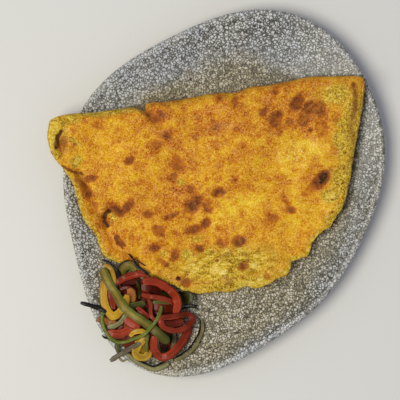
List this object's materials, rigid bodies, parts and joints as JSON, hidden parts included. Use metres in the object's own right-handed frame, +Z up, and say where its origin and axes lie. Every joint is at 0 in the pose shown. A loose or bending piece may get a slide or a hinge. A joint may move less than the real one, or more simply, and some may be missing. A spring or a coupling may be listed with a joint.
{
  "type": "folded omelette on a plate",
  "caption": "Browned omelette folded over once, on a pebble-shaped speckled stoneware plate with a small heap of pepper and courgette shreds.",
  "frame": {"origin": "middle of the plate's flat foot, on the surface it stands on", "axes": "+Z up, +Y from the omelette's open edge towards its fold, along the plate's longest way, +X to the right of someone who faces the fold"},
  "size_m": [0.2499, 0.2724, 0.0369],
  "materials": {
    "stoneware": "satin glaze, grey with fine dark and pale speckles",
    "egg": null,
    "shreds": null
  },
  "bodies": {
    "root": {"plate": "stoneware", "omelette": "egg", "shred_heap": "shreds"}
  },
  "joints": []
}
